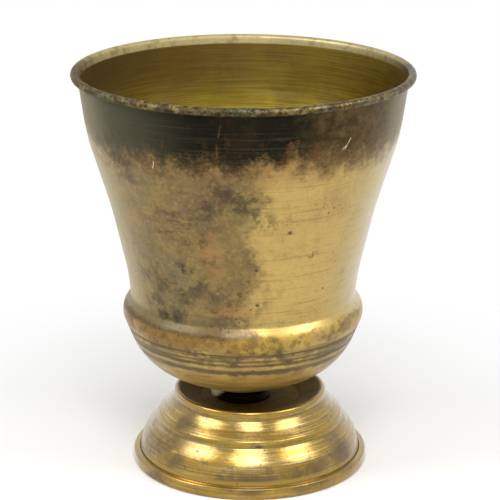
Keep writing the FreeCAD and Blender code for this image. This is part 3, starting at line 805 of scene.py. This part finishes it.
def cup_lining(look, t):
    """The lining's colour, brushed round and round, with painted shade that darkens it towards the rim and
    more at the left.
    """
    return look.layered(
        "inside",
        ("olive", t.cloud.step(0.45, 0.65) * 0.5),
        ("umber", t.brushed.step(0.52, 0.38) * 0.5),
        ("bright", t.brushed.step(0.54, 0.66) * 0.42),
        # Painted shade: umber laid thicker towards the rim, and more at the left than at the right.
        ("umber", look.height.step(0.146, 0.208) * (0.80 - 0.20 * t.side)),
        ("umber", look.place.cells(420.0).step(0.14, 0.05) * 0.6))


def bead_bloom(look, t):
    """The colour of the rim's bead: grey and gold with dark specks, and lighter at the far side."""
    fine, finer = look.place.noise(240.0, 7.0, 0.7), look.place.noise(420.0, 6.0, 0.7)
    bloom = look.layered(
        "grey",
        ("tan", t.flow.step(0.44, 0.6) * 0.5),
        ("umber", fine.step(0.42, 0.56) * 0.8),
        ("black", finer.step(0.46, 0.58) * 0.75 * (1 - 0.5 * t.side * t.side)))
    clean = look.layered(bloom, ("bright", 0.88 - 0.35 * t.mottle.step(0.48, 0.64)))
    return look.layered(clean, (bloom, look.depth.step(0.045, 0.0)))


def cup_finish(colours, profile, levels):
    """Aged brass: a dull left side and a worn right side that also carries a painted broad highlight,
    burnt under the rim, with a warm belt and painted shade in its crease, a banded bowl, a brushed
    lining with painted shade towards the rim, and a painted reflection on the wall's flanks."""
    look = Finish("cup_brass", {"Metallic": 1.0, "Coat Roughness": 0.28}, colours)
    t = look.textures(CUP_GRAIN, CUP_TURNED)
    t.side = t.turning.parts()[0]
    t.outside = look.attribute("face").step(0.6, 0.4)
    lined = 1 - t.outside
    metal, rubbed_and_highlit = cup_wall(look, t)
    metal, burnt = burnt_band(look, t, metal, rubbed_and_highlit, levels.rim)
    metal, belted, worn = belt_and_bowl(look, t, metal, levels.waist, levels.roll)
    metal, pits = cup_marks(look, t, metal, profile)
    bead = levels.rim - BEAD_START
    metal = look.layered(
        metal,
        (cup_lining(look, t), lined),
        (bead_bloom(look, t), look.height.step(bead - 0.0006, bead + 0.0004)))
    relief = t.spin * 0.25 + t.grain * 0.25 - pits * 0.8 + t.mottle * 0.3 + t.brushed * 0.25 * lined
    look.shade({
        "Base Color": metal,
        "Roughness": 0.27 + 0.20 * t.mottle + 0.12 * burnt * t.outside - 0.06 * rubbed_and_highlit
        + 0.12 * lined + 0.22 * worn + 0.16 * belted * t.outside,
        "Coat Weight": 0.45 - 0.35 * burnt * t.outside - 0.42 * lined,
        "Normal": look.raised(relief, 0.00009)})
    return look.material


def foot_finish(colours):
    """Polished olive gold with a dish darkened by tarnish and painted shade under the bowl, darker hollows,
    pits and stains.
    """
    look = Finish("foot_brass", {"Metallic": 1.0, "Coat Roughness": 0.21}, colours)
    t = look.textures(FOOT_GRAIN, FOOT_TURNED)
    place, height, bend = look.place, look.height, look.attribute("bend")
    top = look.attribute("face").step(0.6, 0.4)
    dish = look.attribute("dish") * top
    stripe = height.step(0.0062, 0.0066) * height.step(0.0095, 0.0078)
    stains = look.spots(look.warped(70.0, (0.016, 0.016, 0.012)), FOOT_STAINS)
    pocks = place.cells(300.0).step(0.20, 0.09) * t.cloud.step(0.52, 0.62)
    specks = place.cells(900.0).step(0.24, 0.12) * t.mottle.step(0.52, 0.62)
    dots = look.spots(place, FOOT_DOTS) * t.grain.step(0.25, 0.42)
    pits = (pocks | specks * 0.8 | dots) * top
    under = look.layered("olive", ("umber", t.mottle.step(0.35, 0.65) * 0.7))
    metal = look.layered(
        "foot",
        ("tan", t.cloud.step(0.42, 0.60) * 0.45),
        ("olive", t.flow.step(0.46, 0.62) * 0.5 | t.cloud.step(0.54, 0.66) * 0.5),
        ("umber", t.mottle.step(0.52, 0.66) * 0.55),
        ("umber", t.spin.step(0.49, 0.34) * 0.52),
        ("pale", t.spin.step(0.54, 0.66) * 0.38),
        ("umber", t.grain.step(0.52, 0.66) * 0.25),
        ("umber", bend.step(-0.2, -1.0) * 0.35),
        ("foot", bend.step(0.45, 1.0) * 0.4),
        ("umber", stains * t.cloud.step(0.36, 0.54) * 0.8),
        ("amber", stripe * 0.75),
        ("umber", stripe * 0.22),
        # The dish under the bowl: dark tarnish and painted shade, umber with black along the brushing.
        ("umber", dish * 0.6),
        ("black", dish * t.spin.step(0.44, 0.60) * 0.35),
        ("black", pits * 0.75),
        (under, 1 - top))
    relief = t.spin * 0.25 + t.grain * 0.12 - pits * 0.8 + t.mottle * 0.2
    look.shade({
        "Base Color": metal,
        "Roughness": 0.17 + 0.14 * t.mottle + 0.14 * (t.spin - 0.5) + 0.12 * stains
        + 0.25 * (1 - top) + 0.5 * dish,
        "Coat Weight": 0.8 - 0.8 * dish - 0.7 * (1 - top),
        "Normal": look.raised(relief, 0.00007)})
    return look.material


def plain_finish(
        name, colours, light, dark, rough, scale,
        depth=0.00006, turned=0.0, stained=0.5, clean=None, metallic=1.0):
    """Worn metal of two tones, with grain, blotches of the darker tone and turning marks.

    Where clean names one of the mesh's attributes, the light tone shows only where that is one.
    """
    look = Finish(name, {"Metallic": metallic}, colours)
    place = look.place
    mottle = place.noise(scale, 4.0, 0.65)
    grain = place.noise(scale * 5, 3.0, 0.6)
    cloud = place.noise(scale * 0.35, 3.0, 0.55)
    skin = look.layered(light, (dark, mottle.step(0.4, 0.62) * stained | cloud.step(0.5, 0.7) * stained))
    if clean is not None:
        skin = look.layered(dark, (skin, look.attribute(clean)))
    phase = look.radius() * RINGS_OUT + look.height * RINGS_UP
    rings = phase.maths("SINE", phase)
    pits = place.cells(scale * 4).step(0.2, 0.08) * mottle.step(0.5, 0.6)
    skin = look.layered(skin, (dark, rings.step(0.2, 1.0) * turned), ("black", pits * 0.7))
    relief = grain * 0.4 + mottle * 0.4 - pits * 0.8 + rings * 0.2 * turned
    look.shade({
        "Base Color": skin, "Roughness": rough + 0.2 * (mottle - 0.5), "Normal": look.raised(relief, depth)})
    return look.material


# ---------------------------------------------------------------- pieces

# Where a sheet's waves start, are whole and end: from the axis or the crest, and from the far end.
CUP_CALM = (0.030, 0.060, 0.020)
FOOT_CALM = (-0.006, 0.004, 0.008)
# Dents: angle from the +X axis, distance along the line, reach in degrees and metres, and depth as a
# share. The foot's distances start at its crest.
CUP_DENTS = (
    (-104.0, 0.120, (7.0, 0.010), 1.0), (-62.0, 0.180, (6.0, 0.012), 0.8), (-35.0, 0.150, (9.0, 0.008), -0.5),
    (-128.0, 0.200, (5.0, 0.008), 0.7), (30.0, 0.140, (8.0, 0.011), 0.9), (140.0, 0.165, (10.0, 0.014), 0.8),
    (-80.0, 0.078, (6.0, 0.005), 0.6), (-115.0, 0.060, (8.0, 0.008), 0.7),
)
FOOT_DENTS = (
    (-70.0, 0.014, (9.0, 0.004), 1.0), (-120.0, 0.030, (8.0, 0.005), 0.9),
    (-95.0, 0.027, (6.0, 0.004), 0.6), (60.0, 0.026, (10.0, 0.006), 0.9),
)
CUP_SEED, FOOT_SEED, SOLDER_SEED = 11, 23, 5
CURL_POINTS = 30
EDGE_BREAK = 0.0002
THREAD_POINTS = 10
# The thread's groove in one pitch: how steep its flanks are, and the share that its crest takes.
THREAD_SLOPE, THREAD_CREST = 2.4, 0.2
SOLDER_POINTS = 15
SOLDER_HOLLOW = 0.077
RIPPLE = 0.0012


def cup_section(shape):
    """The cup's line, with its corners placed from the CAD frame's box, and its main levels."""
    low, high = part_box("cup_shell")
    rim_radius = high.x - shape.gauge - shape.curl_radius
    rim_level = high.z - shape.gauge - shape.curl_radius
    bowl = (shape.knee_radius + shape.bowl_width, low.z + shape.bowl_rise)
    roll = (bowl[0] + shape.roll_width, bowl[1] + shape.roll_rise)
    waist = (roll[0] - shape.waist_inset, roll[1] + shape.waist_rise)
    wide, tall = rim_radius - waist[0], rim_level - waist[1]

    def wall(out, up, bend):
        return (waist[0] + out * wide, waist[1] + up * tall, bend)

    lip = np.array([wide * (1 - shape.shoulder_out), tall * (1 - shape.shoulder_up)])
    lean = math.atan2(lip[0], lip[1]) - math.asin(shape.curl_radius / np.linalg.norm(lip))
    touch = (rim_radius - shape.curl_radius * math.cos(lean), rim_level + shape.curl_radius * math.sin(lean))
    corners = [
        (0.0, low.z, 0.0),
        (shape.knee_radius, low.z, shape.knee_bend),
        (*bowl, shape.bowl_bend),
        (*roll, shape.roll_bend),
        (*waist, shape.waist_bend),
        wall(shape.flare_out, shape.flare_up, shape.flare_bend),
        wall(shape.flank_out, shape.flank_up, shape.flank_bend),
        wall(shape.shoulder_out, shape.shoulder_up, shape.shoulder_bend),
        (*touch, 0.0),
    ]
    drops = np.cumsum([shape.groove_drop, shape.groove_pair, shape.groove_space, shape.groove_space])
    half = shape.groove_width / 2
    reach = [-2 * half, -half, -half / 2, 0.0, half / 2, half, 2 * half]
    marks = [(roll[1] - drop, reach) for drop in drops]
    points, normals, curves = sheet_line(corners, shape.gauge, 1, shape.spacing, marks)
    swing = np.linspace(math.pi - lean, -math.pi / 2 - shape.curl_tuck, CURL_POINTS)[1:]
    ring = np.stack([np.cos(swing), np.sin(swing)], axis=1)
    points = np.vstack([points, np.array([rim_radius, rim_level]) + ring * shape.curl_radius])
    normals = np.vstack([normals, -ring])
    curves = np.concatenate([curves, np.full(len(swing), -1 / shape.curl_radius)])
    levels = SimpleNamespace(roll=roll[1], waist=waist[1], rim=rim_level, grooves=[mark[0] for mark in marks])
    return points, normals, curves, levels


class CUP_OT_cup(bpy.types.Operator):
    """Draws the spun cup with its floor, bowl, belt, flared wall and rolled rim."""

    bl_idname = "footed_cup.cup"
    bl_label = "Draw the Cup"

    def execute(self, context):
        shape = context.scene.footed_cup
        points, normals, curves, levels = cup_section(shape)
        run = run_of(points)
        start, whole, end = CUP_CALM
        edge = run[np.argmax(np.abs(curves) > 0.5 / shape.curl_radius)]
        calm = eased(run, start, whole) * eased(-run, -edge, -edge + end)
        lift = uneven(run, full_turn(shape.around), shape.wave, shape.dent, CUP_DENTS, CUP_SEED)
        wall = (run > start) & (run < edge)
        groove = np.zeros(len(run))
        for level in levels.grooves:
            centre = np.interp(level, points[wall, 1], run[wall])
            near = 1 - np.abs(run - centre) / (shape.groove_width / 2)
            groove = np.maximum(groove, np.clip(near, 0, 1))
        rows, lifts, along, side = sheet_loop(
            points, normals, shape.gauge, lift * calm[:, None], groove * shape.groove_depth)
        marks = sheet_marks(along, side, shape.around)
        marks["groove"] = np.concatenate([groove, 0 * groove])[:, None]
        cup = turned_grid("Cup", rows, lifts, marks, shape.around, False, False)
        profile = (points[wall, 1], points[wall, 0])
        cup.data.materials.append(cup_finish(context.scene.brass_colours, profile, levels))
        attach(cup, "root")
        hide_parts("cup_shell")
        return {"FINISHED"}


def foot_section(shape, low, high):
    """The foot's line, inside the box from low to high, and the heel's level."""
    outside = (high.x - low.x) / 2 - shape.gauge
    heel = outside - shape.hoop_width - 2 * shape.hoop_fit
    over = shape.gauge + shape.hoop_depth + 2 * shape.hoop_fit
    heights = np.cumsum([
        over + shape.heel_rise, shape.dome_rise, shape.cove_rise, shape.ridge_rise, shape.bell_rise,
        shape.throat_rise, shape.crest_rise])
    radii = np.cumsum([
        heel, -shape.dome_inset, -shape.cove_inset, -shape.ridge_inset, -shape.bell_inset,
        -shape.throat_inset, shape.crest_flare])
    bends = [
        shape.heel_bend, shape.dome_bend, shape.cove_bend, shape.ridge_bend, shape.bell_bend,
        shape.throat_bend, shape.crest_bend]
    floor = heights[-1] - shape.dish_drop
    corners = [(shape.hole_radius, floor, 0.0), (shape.dish_radius, floor, shape.dish_bend)]
    corners += list(zip(radii, heights, bends))[::-1]
    corners += [
        (heel, shape.gauge, shape.hoop_corner), (outside, shape.gauge, shape.hoop_corner),
        (outside, over, shape.hoop_corner), (heel + shape.seam_gap, over, 0.0)]
    return *sheet_line(corners, shape.gauge, -1, shape.spacing), heights[0]


class CUP_OT_foot(bpy.types.Operator):
    """Draws the spun foot with its dish, crest, bell, ridge, cove, dome and rolled edge."""

    bl_idname = "footed_cup.foot"
    bl_label = "Draw the Foot"

    def execute(self, context):
        shape = context.scene.cup_foot
        low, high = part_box("foot_shell")
        points, normals, curves, heel_level = foot_section(shape, low, high)
        run = run_of(points)
        start, whole, end = FOOT_CALM
        crest = run[np.argmax(points[:, 1])]
        heel = run[np.argmax((run > crest) & (points[:, 1] < heel_level + HEEL_ABOVE))]
        calm = eased(run, crest + start, crest + whole) * eased(-run, -heel, -heel + end)
        dents = [(angle, crest + place, reach, depth) for angle, place, reach, depth in FOOT_DENTS]
        lift = uneven(run, full_turn(shape.around), shape.wave, shape.dent, dents, FOOT_SEED)
        rows, lifts, along, side = sheet_loop(points, normals, shape.gauge, lift * calm[:, None])
        marks = sheet_marks(along, np.where(along > heel, 0.0, side), shape.around)
        bend = blurred(curves, run, BEND_BLUR) * BEND_FULL
        marks["bend"] = np.concatenate([bend, -bend[::-1]])[:, None]
        marks["dish"] = eased(-along, -crest - DISH_EDGE[0], -crest + DISH_EDGE[1])[:, None]
        axis = ((low.x + high.x) / 2, (low.y + high.y) / 2)
        foot = turned_grid("Foot", rows, lifts, marks, shape.around, True, True, axis)
        foot.data.materials.append(foot_finish(context.scene.brass_colours))
        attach(foot, "root")
        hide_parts("foot_shell")
        return {"FINISHED"}


def threaded_stud(shape):
    """The stud, from its flange's face down: a round flange and a shank whose radius falls by the
    thread's depth in each valley, where a point's height in pitches plus its turn is near a whole."""
    low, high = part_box("cup_stud")
    flange_low = high.z - shape.flange_depth
    shank = np.arange(flange_low, low.z + shape.chamfer, -shape.thread_pitch / THREAD_POINTS)
    flange = [
        (0.0, high.z),
        (shape.flange_radius - EDGE_BREAK, high.z), (shape.flange_radius, high.z - EDGE_BREAK),
        (shape.flange_radius, flange_low + EDGE_BREAK), (shape.flange_radius - EDGE_BREAK, flange_low)]
    tail = [(shape.shank_radius - shape.chamfer, low.z), (0.0, low.z)]
    rows = np.array(flange + [(shape.shank_radius, level) for level in shank] + tail)
    turn = full_turn(shape.around)
    phase = (shank[:, None] / shape.thread_pitch + turn[None, :] / (2 * math.pi)) % 1.0
    valley = np.clip(np.abs(phase - 0.5) * THREAD_SLOPE - THREAD_CREST, 0, 1)
    taper = eased(shank, low.z + shape.chamfer - EDGE_BREAK, low.z + 3 * shape.chamfer)
    narrow = (1 - taper) * shape.chamfer * 0.4
    lifts = np.zeros((len(rows), shape.around, 2))
    lifts[len(flange):-len(tail), :, 0] = -(valley * shape.thread_depth) - narrow[:, None]
    lifts[len(flange), :, 0] = 0.0
    return turned_grid("Stud", rows, lifts, {}, shape.around, False, True)


def solder_bead(shape):
    """The solder: a hollow fillet, swollen as sin(pi s) over its own line by a few cosines of the
    angle and by a bell-shaped lump, which also leans outwards as s squared."""
    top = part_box("collar_solder")[1].z
    inner, leg, drop = shape.solder_inner, shape.solder_leg, shape.solder_drop
    turn = full_turn(shape.around)
    steps = np.linspace(0, 1, SOLDER_POINTS)
    arch = np.sin(steps * math.pi)
    arc = np.stack([inner + leg * steps, top - drop * (1 - steps)], axis=1)
    arc += (SOLDER_HOLLOW * arch)[:, None] * np.array([-drop, leg])
    rows = np.vstack([arc, [[inner + leg * 0.5, top], [inner, top]]])
    rows[:, 1] = np.minimum(rows[:, 1], top)
    away = np.angle(np.exp(1j * (turn - shape.lump_angle)))
    bulge = np.exp(-(away / shape.lump_spread) ** 2)
    chance = np.random.default_rng(SOLDER_SEED)
    ripple = sum(
        np.cos(lobes * turn + chance.uniform(0, 6.3)) * chance.uniform(0.02, 0.07)
        for lobes in (3, 5, 8, 13, 21))
    swell = arch[:, None] * (bulge * shape.lump_reach + ripple * RIPPLE)[None, :]
    lean = (steps ** 2)[:, None] * (bulge * shape.lump_reach * 0.5)[None, :]
    lifts = np.zeros((len(rows), shape.around, 2))
    lifts[:SOLDER_POINTS, :, 0] = swell * 0.75 + lean
    lifts[:SOLDER_POINTS, :, 1] = -swell
    shown = {"lump": np.broadcast_to(eased(bulge, 0.1, 0.5)[None, :], lifts.shape[:2])}
    return turned_grid("Solder", rows, lifts, shown, shape.around, True, False)


class CUP_OT_fixing(bpy.types.Operator):
    """Draws the threaded stud with its flange, and the solder bead with its lump."""

    bl_idname = "footed_cup.fixing"
    bl_label = "Draw the Fixing"

    def execute(self, context):
        shape = context.scene.cup_fixing
        colours = context.scene.brass_colours
        stud = threaded_stud(shape)
        stud.data.materials.append(plain_finish("stud_steel", colours, "steel", "grey", 0.38, 420.0))
        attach(stud, "root")
        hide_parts("cup_stud")

        solder = solder_bead(shape)
        # The solder is umber away from its lump: partly tarnish, partly painted shade under the bowl.
        solder.data.materials.append(plain_finish(
            "solder", colours, "solder", "umber", 0.5, 300.0,
            depth=0.00012, stained=0.3, clean="lump", metallic=0.3))
        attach(solder, "root")
        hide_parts("collar_solder")
        return {"FINISHED"}


class CUP_OT_frame(bpy.types.Operator):
    """Gives the pieces that keep their CAD shapes their finishes."""

    bl_idname = "footed_cup.frame"
    bl_label = "Finish the Frame"

    def execute(self, context):
        colours = context.scene.brass_colours
        finishes = {
            # The collar is black all over: partly dark tarnish, partly a painted shadow under the bowl.
            "neck_collar": ("collar_brass", "black", "black", 0.6, 240.0, 0.25),
            "rim_wire": ("iron_wire", "iron", "black", 0.5, 500.0, 0.0),
            "foot_hoop": ("iron_hoop", "iron", "red", 0.55, 320.0, 0.0),
            "dish_washer": ("washer_steel", "steel", "brown", 0.42, 260.0, 0.35),
            "lock_washer": ("spring_steel", "grey", "black", 0.4, 400.0, 0.1),
            "hex_nut": ("fixing_steel", "steel", "grey", 0.36, 340.0, 0.15),
        }
        for node, (name, light, dark, rough, scale, turned) in finishes.items():
            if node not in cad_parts:
                raise KeyError(node + " is missing from the frame")
            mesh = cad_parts[node].data
            mesh.materials.clear()
            mesh.materials.append(plain_finish(name, colours, light, dark, rough, scale, turned=turned))
        return {"FINISHED"}


FLOOR_REACH = 6.0
# Each light: the way to it from the cup's middle, and its share of the light level.
LIGHTS = {
    "Light centre": ((0.02, -0.69, 0.70), 1.0),
    "Light left": ((-0.72, -0.26, 0.64), 0.7),
    "Light right": ((0.72, -0.30, 0.62), 0.62),
}
LIT_POINT = np.array([0.0, 0.0, 0.12])


def lay_floor(stage):
    """A plain pale floor that turns into a white surround away from the cup."""
    far = FLOOR_REACH
    mesh = bpy.data.meshes.new("Floor")
    mesh.from_pydata([(-far, -far, 0), (far, -far, 0), (far, far, 0), (-far, far, 0)], [], [(0, 1, 2, 3)])
    floor = bpy.data.objects.new("Floor", mesh)
    bpy.context.scene.collection.objects.link(floor)
    paper = Finish("floor", {"Roughness": 0.9, "Specular IOR Level": 0.0})
    tone = stage.floor_tone
    colour_of_paper = paper.place.noise(3.0).blend(
        (tone, tone, tone * 0.995, 1.0), (tone * 0.997, tone, tone, 1.0))
    paper.shade({"Base Color": colour_of_paper})
    glow = paper.place.make("ShaderNodeEmission", {"Strength": 1.0})
    surface = Signal(paper.tree, paper.shader.outputs[0])
    away = paper.radius().step(stage.paper_near, stage.paper_far)
    mixed = surface.make("ShaderNodeMixShader", {0: away, 1: surface, 2: glow})
    plug(paper.tree, paper.tree.nodes["Material Output"], {"Surface": mixed})
    mesh.materials.append(paper.material)
    return floor


def light_world(stage):
    """A world that is white to the camera, in reflections and through glass, and dimmer as light."""
    world = bpy.data.worlds.new("Studio")
    world.use_nodes = True
    tree = world.node_tree
    path = tree.nodes.new("ShaderNodeLightPath")
    rays = [Signal(tree, path.outputs[f"Is {kind} Ray"]) for kind in ("Camera", "Glossy", "Transmission")]
    strength = reduce(or_, rays) * (1 - stage.fill_level) + stage.fill_level
    plug(tree, tree.nodes["Background"], {"Color": (1, 1, 1, 1), "Strength": strength})
    return world


def hang_lights(stage, scene):
    """Three square lights before and above the cup, each turned to its middle."""
    for name, (aim, part) in LIGHTS.items():
        lamp = bpy.data.lights.new(name, "AREA")
        lamp.shape = "SQUARE"
        lamp.size = stage.light_size
        lamp.energy = stage.light_level * part * math.pi * stage.light_size ** 2
        holder = bpy.data.objects.new(name, lamp)
        scene.collection.objects.link(holder)
        direction = np.array(aim) / np.linalg.norm(aim)
        holder.location = LIT_POINT + direction * stage.light_distance
        holder.rotation_mode = "QUATERNION"
        holder.rotation_quaternion = Vector(direction).to_track_quat("Z", "Y")


class CUP_OT_stage(bpy.types.Operator):
    """Sets up the floor, the white world, three soft lights and the camera."""

    bl_idname = "footed_cup.stage"
    bl_label = "Set Up the Stage"

    def execute(self, context):
        scene = context.scene
        stage = scene.cup_stage
        floor = lay_floor(stage)
        scene.world = light_world(stage)
        hang_lights(stage, scene)
        camera = bpy.data.cameras.new("Camera")
        camera.lens = stage.lens
        camera.sensor_width = 36.0
        eye = bpy.data.objects.new("Camera", camera)
        scene.collection.objects.link(eye)
        eye.location = stage.eye
        eye.rotation_euler = (stage.pitch, 0.0, 0.0)
        eye.rotation_euler.rotate_axis("Z", stage.roll)
        scene.camera = eye
        scene.view_settings.view_transform = "Standard"
        return {"FINISHED"}


class CUP_PT_panel(bpy.types.Panel):
    """The add-on's sizes, colours and buttons."""

    bl_label = "Footed Cup"
    bl_idname = "CUP_PT_panel"
    bl_space_type = "VIEW_3D"
    bl_region_type = "UI"
    bl_category = "Footed Cup"

    def draw(self, context):
        for name, (group, operators) in GROUPS.items():
            box = self.layout.box()
            for operator in operators:
                box.operator(operator.bl_idname)
            settings = getattr(context.scene, name)
            for key in group.__annotations__:
                box.prop(settings, key)


GROUPS = {
    "footed_cup": (CupShape, (CUP_OT_cup,)),
    "cup_foot": (FootShape, (CUP_OT_foot,)),
    "cup_fixing": (FixingShape, (CUP_OT_fixing,)),
    "brass_colours": (BrassColours, (CUP_OT_frame,)),
    "cup_stage": (StageSettings, (CUP_OT_stage,)),
}


def register():
    """Registers the settings, the operators and the panel."""
    for name, (group, operators) in GROUPS.items():
        bpy.utils.register_class(group)
        setattr(bpy.types.Scene, name, PointerProperty(type=group))
        for operator in operators:
            bpy.utils.register_class(operator)
    bpy.utils.register_class(CUP_PT_panel)


def unregister():
    """Takes back all that register() added."""
    bpy.utils.unregister_class(CUP_PT_panel)
    for name, (group, operators) in reversed(GROUPS.items()):
        for operator in reversed(operators):
            bpy.utils.unregister_class(operator)
        delattr(bpy.types.Scene, name)
        bpy.utils.unregister_class(group)


def main():
    """Builds the whole scene."""
    register()
    bpy.ops.footed_cup.cup()
    bpy.ops.footed_cup.foot()
    bpy.ops.footed_cup.fixing()
    bpy.ops.footed_cup.frame()
    bpy.ops.footed_cup.stage()


if __name__ == "__main__":
    main()
